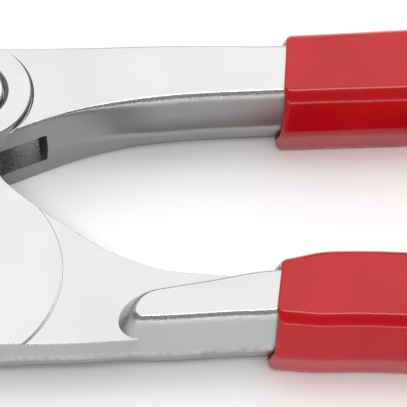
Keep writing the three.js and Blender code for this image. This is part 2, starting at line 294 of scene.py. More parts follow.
def closed_sections(high, low, height, across):
    """Both sides of each station joined by straight rows over the two faces, across points in each row."""
    t = np.linspace(0, 1, across + 2)[None, 1:-1, None]
    under = high[:, -1:] * (1 - t) + low[:, -1:] * t
    over = low[:, :1] * (1 - t) + high[:, :1] * t
    flat = np.concatenate([high, under, low[:, ::-1], over], 1)
    face = np.ones((1, across))
    z = np.concatenate([height, height[:, -1:] * face, height[:, ::-1], height[:, :1] * face], 1)
    return np.concatenate([flat, z[..., None] + mid_z], 2)


def lever_points(upper, lower, inset, height, edge, nose=0.0, across=9):
    """Stations by loop points: down the upper side, across the lower face, up the lower side, and back
    across the top. A side point is its face edge point moved out along the normal by what the profile
    stands out there, and by up to a share nose more where the side looks back along the lever."""
    upper_normal, lower_normal = chain_normals(upper, lower)
    shape = (len(upper), inset.shape[1])
    out = np.asarray(edge).reshape(-1, 1) - np.broadcast_to(inset, shape)
    height = np.broadcast_to(height, shape)
    high_more = 1 + nose * np.clip(-upper_normal[:, :1], 0, 1) ** 2
    low_more = 1 + nose * np.clip(-lower_normal[:, :1], 0, 1) ** 2
    high = upper[:, None, :] + upper_normal[:, None, :] * (out * high_more)[..., None]
    low = lower[:, None, :] + lower_normal[:, None, :] * (out * low_more)[..., None]
    return closed_sections(high, low, height, across)


def lever_solid(name, points):
    """A mesh from stations by loop points. The end stations have no width, so they close by themselves."""
    rows, columns = points.shape[:2]
    return mesh_object(name, points, grid_faces(rows, columns, closed_columns=True))


print("lever helpers ready")

# %% [markdown]
# ## Cutting and joining
# Some shapes are easier as one solid cut by another, as a milling cutter would. The Boolean modifier does
# that, and its result is copied into a plain mesh so that the tools can be thrown away.

# %% Boolean helper


def carve(piece, operation, *tools):
    """Joins, cuts or intersects piece with each tool, keeps the result and removes the tools."""
    for tool in tools:
        step = piece.modifiers.new(operation, "BOOLEAN")
        step.operation = operation
        step.solver = "MANIFOLD"
        step.object = tool
        solid = bpy.data.meshes.new_from_object(piece.evaluated_get(bpy.context.evaluated_depsgraph_get()))
        piece.modifiers.clear()
        old = piece.data
        piece.data = solid
        solid.name = piece.name
        bpy.data.meshes.remove(old)
        bpy.data.objects.remove(tool)
    return piece


def finish_mesh(piece, body, slot, *nodes, angle=32):
    """Smooth faces that meet under the angle, hand the piece to its body and hide its CAD nodes; slot is not
    used.
    """
    piece.data.shade_smooth()
    piece.data.set_sharp_from_angle(angle=np.radians(angle))
    flats = piece.modifiers.new("keep flat faces flat", "WEIGHTED_NORMAL")
    flats.keep_sharp = True
    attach(piece, body)
    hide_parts(*nodes)
    print(piece.name, len(piece.data.polygons), "faces")
    return piece


def turned(name, profile, around=96):
    """A lathe part: the profile of (radius, height) carried round the joint's axis."""
    radius, height = np.array(profile, float).T
    angle = np.linspace(0, 2 * np.pi, around, endpoint=False)[None, :]
    rings = np.stack([radius[:, None] * np.cos(angle), radius[:, None] * np.sin(angle)], -1)
    points = np.concatenate([rings, np.broadcast_to(height[:, None, None], rings.shape[:2] + (1,))], 2)
    return mesh_object(name, points, grid_faces(len(profile), around, closed_columns=True))


def prism(name, outline, low, high):
    """An upright solid on an outline, from height low to height high."""
    loop = np.asarray(outline, float)
    rings = np.stack([np.column_stack([loop, np.full(len(loop), z)]) for z in (low, high)])
    return walled(name, rings)


print("boolean helpers ready")

# %% [markdown]
# ## The handles' middle lines
# Both handles leave the head nearly straight, bow outwards and come back in at their ends. The steel core
# and the grip share one middle line, so the coat is the same thickness all round.

# %% Handle sizes

steel_half = 5.4
draft_handle = 2.2
edge_chamfer = 0.55
edge_drop = 0.55
coat = 0.9
coat_sides = 1.35
dip_softness = np.array([1.6, 0.9, 1.5, 1.5, 1.0, 1.4])
slimming = 0.7
end_roundness = 4.5
reach = grip_end - coat - 5.2 - grip_start
outer_middle = [
    (grip_start - 20, 4.3),
    (grip_start, 5.1),
    (grip_start + 0.06 * reach, 5.5),
    (grip_start + 0.2 * reach, 6.4),
    (grip_start + 0.5 * reach, 7.6),
    (grip_start + 0.8 * reach, 6.1),
    (grip_start + reach, 1.6),
    (grip_end, 0.4),
]
inner_middle = [
    (grip_start - 18, -33.4),
    (grip_start - 1, -31.5),
    (grip_start + 0.06 * reach, -30.95),
    (grip_start + 0.2 * reach, -31.8),
    (grip_start + 0.5 * reach, -33.8),
    (grip_start + 0.8 * reach, -32.6),
    (grip_start + reach, -28.4),
    (grip_end, -27.2),
]


def outer_half(x):
    """Half the width of the outer handle's steel face: it swells under the grip and slims to the end."""
    swell = 0.25 * smoothstep(x, grip_start + 3, grip_start + 26)
    return 3.55 + swell - slimming * smoothstep(x, grip_start + 40, grip_end)


def inner_half(x):
    """Half the width of the inner handle's steel face: the bar grows by a step just inside its grip."""
    step = 0.9 * smoothstep(x, grip_start - 1.0, grip_start + 6)
    return 3.05 + step - slimming * smoothstep(x, grip_start + 40, grip_end)


print("handle reach in mm:", round(float(reach), 1))

# %% [markdown]
# ## The outer lever
# One forging runs from the curved jaw through the slotted head to the handle. The head's two cheeks leave a
# slot for the inner lever, closed by a round end towards the handle. A round boss stands proud of the face
# round the push button. The head and handle are one loft, then the jaw and boss are joined and the slot and
# bore are cut.

# %% Outer lever: head and handle

head_start = -36.0
head_roundness = 4.0
head_draft = 0.35
head_chamfer = 0.22
core_end = grip_end - coat - draft_handle - edge_chamfer


def outer_faces(x):
    """Lower and upper edges of the outer lever's face, its draft, chamfer and half thickness, along X. The
    head is spline knots, and just before the dip it blends into the handle's middle line and half width."""
    low = [(-36, -18.2), (-28, -19), (-18, -15.6), (-6, -9.9), (0, -8.3), (4, -6.7), (6.5, -5.55)]
    low += [(8.7, -4.55), (12.1, -3.05), (20.2, -0.5), (32.6, 1.05), (grip_start, 1.5)]
    high = [(-36, -13.6), (-27, -9), (-17, -3.2), (-9.5, 3.2), (-4, 6.9), (4, 7.5), (8.4, 7.5), (11.4, 7.7)]
    high += [(15.2, 7.95), (21.9, 8.45), (31, 8.58), (grip_start, 8.62)]
    middle = spline(outer_middle, x)
    half = outer_half(x)
    blend = smoothstep(x, grip_start - 7, grip_start - 0.5)
    low = spline(low, x) * (1 - blend) + (middle - half) * blend
    high = spline(high, x) * (1 - blend) + (middle + half) * blend
    grow = smoothstep(x, 7, 27)
    draft = head_draft + (draft_handle - head_draft) * grow
    chamfer = head_chamfer + (edge_chamfer - head_chamfer) * smoothstep(x, 8, 20)
    thick = steel_half + (mid_z - steel_half) * (1 - smoothstep(x, 5, 24))
    return low, high, draft, chamfer, thick


x = stations(head_start, core_end, head_roundness, end_roundness, 0.5)
low, high, draft, chamfer, thick = outer_faces(x)
upper, lower = paired_outline(x, low, high, head_roundness, end_roundness)
inset, height = forged_side(thick, draft, chamfer, chamfer * edge_drop / edge_chamfer)
outer_lever = lever_solid("outer_lever_forging", lever_points(upper, lower, inset, height, draft + chamfer))
print("outer lever body faces:", len(outer_lever.data.polygons))

# %% [markdown]
# ## Serrated jaws
# A grozing jaw nibbles at glass with a row of fine cross teeth. Each jaw is a flat block whose long edges
# are slightly rounded. The outline has a saw-tooth stretch where the jaws meet, and the rounding fades out
# there so that the teeth stay crisp from side to side.

# %% Jaw blocks

jaw_tip = lever_low[0]
jaw_root = -31.0
jaw_line = -8.0
jaw_half = 5.0
tooth_pitch = 1.2
tooth_depth = 0.4
tooth_count = int((jaw_root - jaw_tip - 2) // tooth_pitch)


def saw_edge(height_at, depth):
    """Points of a row of teeth from the jaw's root to its tip, each one pitch long."""
    k = np.arange(2 * tooth_count)
    x = jaw_root - 1 - k * tooth_pitch / 2
    return np.column_stack([x, height_at(x) + depth * (k % 2)])


def jaw_block(name, corners, teeth, radius):
    """The jaw's outline through its rounded corners, then the teeth, carried through its thickness with
    both long edges rounded by the radius, except along the teeth."""
    loop = np.vstack([corners, teeth])
    crisp = np.concatenate([np.ones(len(corners)), np.zeros(len(teeth))])
    turn = np.linspace(0, np.pi / 2, 5)
    inset = radius * np.concatenate([1 - np.sin(turn), 1 - np.sin(turn[::-1])])
    rise = jaw_half - radius * (1 - np.cos(turn))
    z = np.concatenate([-rise, rise[::-1]])
    normal = outward(loop) * crisp[:, None]
    rings = loop[None] - normal[None] * inset[:, None, None]
    rings = np.concatenate([rings, np.broadcast_to(z[:, None, None] + mid_z, rings.shape[:2] + (1,))], 2)
    return walled(name, rings)


def fine(points, step=0.6):
    """A polyline with its long stretches divided, so that it bends and rounds smoothly."""
    p = np.array(points, float)
    along = np.concatenate([[0], np.cumsum(np.linalg.norm(np.diff(p, axis=0), axis=1))])
    at = np.linspace(0, along[-1], int(along[-1] / step) + 1)
    return np.stack([np.interp(at, along, p[:, axis]) for axis in (0, 1)], 1)


def hollow_face(x):
    """The lower jaw's gripping face: a shallow hollow between its tip and its root."""
    along = np.clip((x - jaw_tip) / (jaw_root - jaw_tip), 0, 1)
    return jaw_line - 0.3 - 1.4 * np.sin(np.pi * along)


lower_knots = [(jaw_tip + 0.1, jaw_line - 0.35), (jaw_tip, jaw_line - 0.7), (jaw_tip, jaw_line - 4.2)]
lower_knots += [(jaw_tip + 0.5, jaw_line - 5), (jaw_tip + 2, jaw_line - 6)]
lower_knots += [(jaw_tip + 14, jaw_line - 10.5), (jaw_root - 4, jaw_line - 12.6)]
lower_knots += [(jaw_root + 1, jaw_line - 12.8), (-25, -19.6), (-24.4, -18), (-24.4, -8), (-25, -6.6)]
lower_knots += [(-27, -7), (jaw_root + 1.5, jaw_line - 0.8)]
lower_corners = fine(lower_knots)
lower_jaw = jaw_block("lower_jaw", lower_corners, saw_edge(hollow_face, -tooth_depth), 0.6)
print("teeth on each jaw:", tooth_count)

# %% [markdown]
# ## Cutting the head
# On the real forging the slot is milled through the head from side to side, and the bore for the button is
# drilled and then grooved for the two rings. The same order works here: the boss is joined on, then one
# cutter makes the slot, one opens its mouth towards the handle, and a lathe shape makes bore and grooves.

# %% Outer lever: boss, slot and bores

boss_radius = 8.1
bore_radius = 4.9
slot_half = 2.8
window_end = 10.7
boss_base = mid_z + slot_half + 1
boss_profile = [(0, boss_base), (boss_radius + 0.1, boss_base), (boss_radius + 0.08, mid_z * 2 - 0.1)]
boss_profile += [(boss_radius + 0.03, boss_top - 0.3), (boss_radius, boss_top - 0.12)]
boss_profile += [(boss_radius - 0.12, boss_top), (0, boss_top)]
boss = turned("boss", boss_profile, around=160)
corner_radius = 0.9
turn = np.linspace(-np.pi / 2, 0, 8)
corner = corner_radius * np.column_stack([np.cos(turn) - 1, np.sin(turn) + 1]) + (window_end, -slot_half)
slot_side = np.vstack([[(-29, -slot_half)], corner, corner[::-1] * (1, -1), [(-29, slot_half)]])
slot_ends = [np.insert(slot_side + (0, mid_z), 1, y, axis=1) for y in (-40, 40)]
slot_cutter = walled("slot_cutter", np.stack(slot_ends))
flare = [(window_end - 6, 0), (window_end - slot_half, 0), (window_end + 10, 12), (window_end - 6, 12)]
flare_cutter = prism("flare_cutter", flare, mid_z - slot_half, mid_z + slot_half)
ring_play = 0.06
groove_radius = bore_radius + 0.46


def bore_groove(low, high):
    """The four corners of a ring's groove in the bore, with a little play above and below the ring."""
    low, high = low - ring_play, high + ring_play
    return [(bore_radius, low), (groove_radius, low), (groove_radius, high), (bore_radius, high)]


bore_profile = [(0, -2), (bore_radius + 2, -2), (bore_radius + 0.2, -0.01), (bore_radius + 0.02, 0.2)]
bore_profile += bore_groove(sleeve_ring_low[2], sleeve_ring_high[2])
bore_profile += bore_groove(ring_low[2], ring_high[2])
bore_profile += [(bore_radius + 0.02, boss_top - 0.2), (bore_radius + 0.2, boss_top + 0.01)]
bore_profile += [(bore_radius + 2, boss_top + 2), (0, boss_top + 2)]
bore_cutter = turned("bore_cutter", bore_profile, around=160)
slot_plan = [(-30, -41), (20, -41), (20, -7), (10.9, -5.3), (9.2, -3.2), (8.8, 0), (8.8, 41), (-30, 41)]
carve(slot_cutter, "INTERSECT", prism("slot_plan", slot_plan, 0, 2 * mid_z))
around = np.linspace(0, 2 * np.pi, 200, endpoint=False)[:, None]
ring = np.linspace(0, 2 * np.pi, 8, endpoint=False)[None, :]


def ring_tube(name, centre, radius, z, thick, deep):
    """A tube bent into a full ring that lies flat: the tool that cuts a fine groove round a raised face."""
    reach = radius + thick * np.cos(ring)
    x, y = centre[0] + reach * np.cos(around), centre[1] + reach * np.sin(around)
    points = np.stack([x, y, z + deep * np.sin(ring) + 0 * around], -1)
    return mesh_object(name, points, grid_faces(len(around), ring.shape[1], True, True))


boss_groove = ring_tube("boss_groove", (0, 0), boss_radius + 0.22, mid_z * 2 - 0.12, thick=0.2, deep=0.26)
carve(outer_lever, "DIFFERENCE", boss_groove)
carve(outer_lever, "UNION", lower_jaw, boss)
carve(outer_lever, "DIFFERENCE", slot_cutter, flare_cutter, bore_cutter)
finish_mesh(outer_lever, "outer_arm", "chrome_plate", "outer_lever")

# %% [markdown]
# ## The inner lever
# The second forging is a flat plate where it passes through the head, so that both cheeks can bear on it. A
# round land is ground a little proud of the plate. Its handle is a thick bar with a rounded nose that stands
# up from the plate, and the other end carries the flat jaw. The slot for the button has a row of locking
# teeth on one side.

# %% Inner lever: plate and land

plate_half = 2.4
land_height = 0.2
land_centre = np.array([-4.4, -26.3])
land_radius = 16.6
plate_knots = [(40, -28), (36, -26.6), (26.5, -25.5), (19.3, -22.6), (12.6, -17.8), (6.8, -13), (4.3, -9.6)]
plate_knots += [(4.2, -4), (4.8, 0), (5.6, 4), (3.4, 7.6), (-2, 8.4), (-9, 7.4), (-18, 8.2), (-27, 5)]
plate_knots += [(-29, -2), (-25.5, -6.5), (-19, -8), (-15.2, -12), (-15.4, -19), (-17.1, -26.3)]
plate_knots += [(-14.2, -34.5), (-4.4, -39), (6, -39), (17.5, -38.6), (31, -37.2), (40, -35.6)]
plate_loop = closed_curve(plate_knots, 620)


def plate_solid(name, half):
    """The plate's outline carried down a forged side, between two flat faces."""
    inset, height = forged_side(half, 0.6, 0.16, 0.3, flat=0.15)
    normal = outward(plate_loop)
    rings = plate_loop[None] - normal[None] * inset[0][:, None, None]
    z = np.broadcast_to(height[0][:, None, None] + mid_z, rings.shape[:2] + (1,))
    return walled(name, np.concatenate([rings, z], 2))


inner_lever = plate_solid("inner_lever_forging", plate_half)
land = plate_solid("land", plate_half + land_height)
turn = np.linspace(0, 2 * np.pi, 240, endpoint=False)
land_rim = land_centre + (land_radius + 0.12) * np.column_stack([np.cos(turn), np.sin(turn)])
land_edge = land_centre + 0.7 * land_radius
land_zone = prism("land_zone", land_rim, -1, 2 * mid_z + 1)
head_zone = [(land_edge[0], land_edge[1]), (12, 20), (-26, 20), (-26, land_centre[1]), tuple(land_centre)]
carve(land_zone, "UNION", prism("head_zone", head_zone, -1, 2 * mid_z + 1))
carve(land, "INTERSECT", land_zone)
groove_height = mid_z + plate_half + 0.04
land_groove = ring_tube("land_groove", land_centre, land_radius + 0.24, groove_height, thick=0.24, deep=0.15)
print("land stands", land_height, "mm proud of the plate")

# %% [markdown]
# ## The bar on the plate
# The inner handle is as thick as the outer one, so its bar stands up from the plate with a nose rounded in
# plan. It is the same kind of loft as the outer lever, started where the plate is already wide enough.

# %% Inner lever: handle bar

nose_start = 22.5
nose_roundness = 2.8
nose_reach = 0.35


def inner_faces(x):
    """Lower and upper edges of the bar's face along X: narrow at its nose, as wide as a grip needs later."""
    low = [(19, -35.7), (23.3, -35.6), (28, -35.4), (34, -34.95), (grip_start, -34.5)]
    high = [(19, -32.2), (23.9, -31.75), (28, -30.95), (32, -30.2), (37, -29.1), (grip_start, -28.4)]
    middle = spline(inner_middle, x)
    half = inner_half(x)
    blend = smoothstep(x, grip_start - 6, grip_start - 1.5)
    low = spline(low, x) * (1 - blend) + (middle - half) * blend
    high = spline(high, x) * (1 - blend) + (middle + half) * blend
    return low, high


x = stations(nose_start, core_end, nose_roundness, end_roundness, 0.6)
low, high = inner_faces(x)
upper, lower = paired_outline(x, low, high, nose_roundness, end_roundness, share=0.25)
inset, height = forged_side(steel_half, draft_handle, edge_chamfer, edge_drop, flat=0.2)
edge = edge_chamfer + draft_handle
handle_bar = lever_solid("handle_bar", lever_points(upper, lower, inset, height, edge, nose_reach))
print("bar faces:", len(handle_bar.data.polygons))

# %% [markdown]
# ## The flat jaw and the rack
# The upper jaw is flat where the lower one is hollow, which is how grozing pliers take small bites. The rack
# is a broached row of teeth in the upper half of the slot only, and the key leaves it when the button is
# pressed, so the lever can slide to the next tooth.

# %% Inner lever: jaw and toothed slot

upper_knots = [(jaw_root + 0.4, jaw_line + 0.2), (-25, -4), (-15.5, 2.2), (-12, 5.9), (-11.8, 6.6)]
upper_knots += [(-12.8, 8.7), (-13.6, 9.2), (-18, 10.5), (-27, 9.5), (-42, 5.5)]
upper_knots += [(jaw_tip + 4.6, jaw_line + 6.7), (jaw_tip + 3.4, jaw_line + 6.2)]
upper_knots += [(jaw_tip + 0.5, jaw_line + 4.3), (jaw_tip, jaw_line + 3.6), (jaw_tip, jaw_line + 0.4)]
upper_knots += [(jaw_tip + 0.2, jaw_line + 0.05)]
upper_corners = fine(upper_knots)
flat_teeth = saw_edge(lambda at: jaw_line + 0 * at, tooth_depth)[::-1]
upper_jaw = jaw_block("upper_jaw", upper_corners, flat_teeth, 0.6)

slot_wall = 2.4
rack_gaps = 6
rack_pitch = slide_travel / rack_gaps
rack_depth = 0.7
slot_top = 4.9
slot_bottom = -slide_travel - slot_top
along = np.array(slide_axis[:2])
across = np.array([along[1], -along[0]])


def beside(points):
    """Places given across and along the adjusting slot, turned into the pliers' own X and Y."""
    p = np.array(points, float)
    return p[:, :1] * across + p[:, 1:] * along


def slot_zone(left, right):
    """A rectangle as long as the adjusting slot, between two places across it."""
    return beside([(left, slot_bottom), (right, slot_bottom), (right, slot_top), (left, slot_top)])


key_slot = prism("key_slot", slot_zone(-slot_wall, slot_wall), -1, 2 * mid_z + 1)
relief = prism("relief", slot_zone(-slot_wall - rack_depth - 0.2, 0), -1, mid_z + 0.2)


def row_of_teeth(places, root, crest, root_half, crest_half):
    """Corners of a row of teeth: at each place a corner at the root, two on the crest, and one at the root."""
    points = []
    for y in places:
        points += [(root, y + root_half), (crest, y + crest_half)]
        points += [(crest, y - crest_half), (root, y - root_half)]
    return points


rack_places = [rack_pitch * (1 - tooth) for tooth in range(rack_gaps + 3)]
rack_edge = row_of_teeth(rack_places, -slot_wall, -slot_wall - rack_depth, 0.6, 0.3)
rack_zone = [(0, rack_edge[0][1]), *rack_edge, (0, rack_edge[-1][1])]
rack = prism("rack", beside(rack_zone), mid_z - 1, 2 * mid_z + 1)
carve(inner_lever, "UNION", land)
carve(inner_lever, "DIFFERENCE", land_groove)
carve(inner_lever, "UNION", handle_bar, upper_jaw)
carve(inner_lever, "DIFFERENCE", key_slot, relief, rack)
finish_mesh(inner_lever, "inner_arm", "chrome_plate", "inner_lever")

# %% [markdown]
# ## Dipped grips
# A dipped grip is the handle's own section grown by an even skin, with every corner softened by the liquid
# it was made from. The surface runs from the far end along the outside, rolls over the lip where the dip
# stopped, and goes back along the steel, so that it is one closed skin.

# %% Grips

lip_round = 0.7
outer_end_round = 7.2
inner_end_round = 6.4


def dipped_grip(name, body, node, middle_knots, face_half, lip_x, lean):
    """Stations run out along the handle and back inside it. Outside, the half width grows by the coat; at
    the lip it shrinks round a half circle; inside, it stays just clear of the steel. The lip leans towards
    the head by up to lean at the bottom, as a handle dipped at a slant leaves it."""
    inner_end = grip_end - coat + 0.1
    outside = stations(lip_x + lip_round, grip_end, 0.1, outer_end_round, 1.0)[end_steps - 1 :][::-1]
    turn = np.linspace(0, np.pi, 9)[1:-1]
    lip = lip_x + lip_round - lip_round * np.sin(turn)
    inside = stations(lip_x + lip_round, inner_end, 0.1, inner_end_round, 1.6)[end_steps - 1 :]
    x = np.concatenate([outside, lip, inside])
    thinning = coat * (0.5 + 0.45 * np.cos(turn))
    thickness = np.concatenate([np.full(len(outside), coat), thinning, np.full(len(inside), 0.05)])
    is_outside = np.arange(len(x)) < len(outside) + (len(turn) + 1) // 2
    end = np.where(is_outside, grip_end, inner_end)
    radius = np.where(is_outside, outer_end_round, inner_end_round)
    far = np.clip(1 - (end - x) / radius, 0, 1)
    middle = spline(middle_knots, x)
    spread = thickness * coat_sides / coat
    outer = (face_half(x) + edge_chamfer + draft_handle + spread) * np.sqrt(1 - far**2)
    slope = spline(middle_knots, x + 0.5) - spline(middle_knots, x - 0.5)
    inward = np.arcsin(far)
    coated = np.clip(thickness / coat, 0, 1)
    softened = edge_chamfer + 0.7 * coated
    half, draft = steel_half + thickness, draft_handle - 0.2
    inset, height = forged_side(half, draft, softened, softened, soft=dip_softness, under=1 - 0.5 * coated)
    sides = []
    for way in (1, -1):
        normal = np.stack([np.sin(inward) - way * slope * np.cos(inward), way * np.cos(inward)], 1)
        normal /= np.linalg.norm(normal, axis=1, keepdims=True)
        edge = np.stack([x, middle + way * outer], 1)
        sides.append(edge[:, None, :] - normal[:, None, :] * inset[..., None])
    points = closed_sections(*sides, height, 11)
    fade = 1 - smoothstep(points[..., 0], grip_start, grip_start + 9)
    points[..., 0] -= fade * lean * smoothstep(mid_z - points[..., 2], -steel_half, steel_half)
    return finish_mesh(lever_solid(name, points), body, "red_dip", node, angle=60)


outer_grip = dipped_grip(
    "outer_dipped_grip", "outer_arm", "outer_grip", outer_middle, outer_half, grip_start + 0.35, 1.2
)
inner_grip = dipped_grip(
    "inner_dipped_grip", "inner_arm", "inner_grip", inner_middle, inner_half, grip_start - 0.65, 1.3
)

# %% [markdown]
# ## The push button and its joint
# The button is turned on a lathe: a flat head with a bevelled rim, a flange under the retaining ring and a
# waist. Below the waist a milled key with three teeth fits the inner lever's rack. The sleeve under it is a
# cup with two prongs, and both are held by open rings snapped into grooves.

# %% Button and key

button_radius = 4.35
flange_radius = 4.75
flange_top = ring_low[2] - 0.1
flange_low = mid_z + plate_half + land_height + 2.4
key_low = mid_z + 0.25
key_high = key_low + 2.2
button_top = button_high[2]
button_profile = [(0, button_low[2]), (1.1, button_low[2]), (1.2, button_low[2] + 0.1)]
button_profile += [(1.2, key_low + 0.2), (2.0, key_low + 0.2), (2.0, flange_low - 0.25), (2.25, flange_low)]
button_profile += [(flange_radius - 0.15, flange_low), (flange_radius, flange_low + 0.15)]
button_profile += [(flange_radius, flange_top - 0.1), (flange_radius - 0.1, flange_top)]
button_profile += [(button_radius, flange_top), (button_radius, button_top - 0.4)]
button_profile += [(button_radius - 0.03, button_top - 0.26), (button_radius - 0.12, button_top - 0.12)]
button_profile += [(button_radius - 0.28, button_top - 0.03), (button_radius - 0.45, button_top)]
button_profile += [(button_radius - 0.7, button_top), (1.5, button_top), (0, button_top)]
button = turned("push_button", button_profile, around=160)
key_play = 0.15
key_wall = slot_wall - key_play
key_reach = 2.9
key_crest = -slot_wall - rack_depth + key_play
tooth_points = [(key_wall, -key_reach), (key_wall, key_reach), (-key_wall, key_reach)]
tooth_points += row_of_teeth((rack_pitch, 0, -rack_pitch), -key_wall, key_crest, 0.45, 0.18)
tooth_points += [(-key_wall, -key_reach)]
carve(button, "UNION", prism("key", beside(tooth_points), key_low, key_high))
finish_mesh(button, "button", "bright_steel", "lock_button")

# %% [markdown]
# ## The sleeve
# The sleeve is a turned cup that holds the return spring from below, and its prongs keep the key in line
# with the slot. It is a lathe shape with two short prisms joined on, as a miller would leave them standing.

# %% Sleeve

cup_top = mid_z - plate_half - land_height - 0.1
cup_profile = [(0, 0.12), (3.3, 0.12), (3.5, 0), (4.1, 0), (4.3, 0.2), (4.3, sleeve_ring_high[2] + 0.1)]
cup_profile += [(flange_radius - 0.1, sleeve_ring_high[2] + 0.1)]
cup_profile += [(flange_radius, sleeve_ring_high[2] + 0.2), (flange_radius, cup_top - 0.1)]
cup_profile += [(flange_radius - 0.1, cup_top), (2.8, cup_top), (2.7, cup_top - 0.1), (2.7, 1.2)]
cup_profile += [(0, 1.2)]
cup = turned("pivot_cup", cup_profile, around=128)
for side in (-1, 1):
    near, far = side * (key_reach + 0.15), side * (key_reach + 1.45)
    zone = beside([(-key_wall, near), (key_wall, near), (key_wall * 0.75, far), (-key_wall * 0.75, far)])
    carve(cup, "UNION", prism("prong", zone, cup_top - 0.5, mid_z + plate_half))
finish_mesh(cup, "pivot", "bright_steel", "pivot_sleeve")

# %% [markdown]
# ## The snap rings
# Each ring is flat spring steel with a gap, so that it can be pinched, dropped into the bore and let go in
# its groove. A rounded rectangle carried round the axis gives the stamped edge without a bevel.

# %% Snap rings

ring_outer = 5.3
ring_gap = 0.3


def bent_wire(name, points):
    """Rows of points round a wire become its skin, with a flat cut at each end."""
    rows, around_wire = points.shape[:2]
    cuts = [list(range(around_wire)), [(rows - 1) * around_wire + k for k in range(around_wire)]]
    return mesh_object(name, points, grid_faces(rows, around_wire, closed_columns=True) + cuts)


def open_ring(name, inner, low, high, node):
    """A flat ring with rounded edges, carried round almost a full turn, with flat cut ends."""
    turn = np.linspace(ring_gap, 2 * np.pi - ring_gap, 120)[:, None] + np.pi * 0.8
    edge = np.linspace(0, 2 * np.pi, 16, endpoint=False)[None, :]
    lump = np.sign(np.cos(edge)) * np.abs(np.cos(edge)) ** 0.5
    rise = np.sign(np.sin(edge)) * np.abs(np.sin(edge)) ** 0.5
    radius = (inner + ring_outer) / 2 + lump * (ring_outer - inner) / 2
    z = (low + high) / 2 + rise * (high - low) / 2 + 0 * turn
    points = np.stack([radius * np.cos(turn), radius * np.sin(turn), z], -1)
    return finish_mesh(bent_wire(name, points), "outer_arm", "spring_steel", node)


button_snap_ring = open_ring("button_snap_ring", 4.45, ring_low[2], ring_high[2], "button_ring")
sleeve_snap_ring = open_ring("sleeve_snap_ring", 4.4, sleeve_ring_low[2], sleeve_ring_high[2], "sleeve_ring")

# %% [markdown]
# ## The return spring
# The spring is wire on a helix, with a flat coil at each end to stand on. A circle of points is carried
# along the helix.

# %% Return spring

wire = 0.45
spring_turns = 5
coil = np.linspace(0, 2 * np.pi * spring_turns, 240)[:, None]
edge = np.linspace(0, 2 * np.pi, 10, endpoint=False)[None, :]
climb = np.clip((coil / (2 * np.pi) - 0.75) / (spring_turns - 1.5), 0, 1)
centre_z = spring_low[2] + wire / 2 + climb * (spring_high[2] - spring_low[2] - wire)
coil_radius = (spring_high[0] - spring_low[0] - wire) / 2
radius = coil_radius + wire / 2 * np.cos(edge)
points = np.stack([radius * np.cos(coil), radius * np.sin(coil), centre_z + wire / 2 * np.sin(edge)], -1)
spring = bent_wire("return_spring", points)
finish_mesh(spring, "pivot", "spring_steel", "button_spring", angle=60)
spring_length = spring_high[2] - spring_low[2]
float(1 - press_travel / spring_length)
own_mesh(spring)

# %% [markdown]
# ## Shader maths as expressions
# A material's pattern is arithmetic on positions and noise. A small class wraps a node's output, so that
# adding or multiplying two of them adds the Math node, and the rest of the file reads like formulas.

# %% Wrap sockets


class Field:
    """A node output in one material, with arithmetic that adds Math nodes."""

    def __init__(self, tree, socket):
        self.tree, self.socket = tree, socket

    def math(self, operation, other=0.0, swap=False):
        """A Math node on this output and another, with the other one first if swap is true."""
        pair = (other, self) if swap else (self, other)
        return add_node(self.tree, "ShaderNodeMath", {"operation": operation}, dict(enumerate(pair)))

    def __add__(self, other):
        return self.math("ADD", other)

    def __radd__(self, other):
        return self.math("ADD", other)

    def __sub__(self, other):
        return self.math("SUBTRACT", other)

    def __rsub__(self, other):
        return self.math("SUBTRACT", other, swap=True)

    def __mul__(self, other):
        return self.math("MULTIPLY", other)

    def __rmul__(self, other):
        return self.math("MULTIPLY", other)

    def ramp(self, low, high, out_low=0.0, out_high=1.0):
        """From out_low where this is low to out_high where it is high, with a smooth step between."""
        values = {0: self, 1: low, 2: high, 3: out_low, 4: out_high}
        return add_node(self.tree, "ShaderNodeMapRange", {"interpolation_type": "SMOOTHSTEP"}, values)


def add_node(tree, kind, settings, values, output=0):
    """Adds a node, sets its settings, then fills its inputs with numbers or links. Returns one output."""
    node = tree.nodes.new(kind)
    for name, value in settings.items():
        setattr(node, name, value)
    for key, value in values.items():
        socket = node.inputs[key]
        if isinstance(value, Field):
            tree.links.new(value.socket, socket)
        else:
            socket.default_value = value
    return Field(tree, node.outputs[output]) if node.outputs else None


def new_material(name):
    """An empty material, its node tree, and the place on the piece that its patterns are worked out from."""
    material = bpy.data.materials.new(name)
    material.use_nodes = True
    tree = material.node_tree
    tree.nodes.clear()
    place = add_node(tree, "ShaderNodeTexCoord", {}, {}, output="Object")
    return material, tree, place


def surface(tree, values):
    """The Principled shader with these inputs, wired to the material's output."""
    shader = add_node(tree, "ShaderNodeBsdfPrincipled", {}, values)
    add_node(tree, "ShaderNodeOutputMaterial", {}, {"Surface": shader})


def noise(tree, place, per_mm, detail=3.0, roughness=0.5):
    """Noise with this many lumps to a millimetre, from 0 to 1."""
    values = {"Vector": place, "Scale": per_mm / MM, "Detail": detail, "Roughness": roughness}
    return add_node(tree, "ShaderNodeTexNoise", {}, values)


def dress(piece, material):
    """Gives the piece this material and no other."""
    piece.data.materials.clear()
    piece.data.materials.append(material)


def coordinate(tree, vector, axis):
    """One part of a vector: axis 0 is its X, 1 is its Y and 2 is its Z."""
    return add_node(tree, "ShaderNodeSeparateXYZ", {}, {0: vector}, output=axis)


def mix(tree, factor, first, second):
    """First where the factor is 0, second where it is 1. Both are colours."""
    return add_node(tree, "ShaderNodeMix", {"data_type": "RGBA"}, {0: factor, 6: first, 7: second}, output=2)


def tint(tree, factor, dark, light):
    """The dark colour where the factor is 0 and the light one where it is 1, with full alpha."""
    return mix(tree, factor, (*dark, 1), (*light, 1))


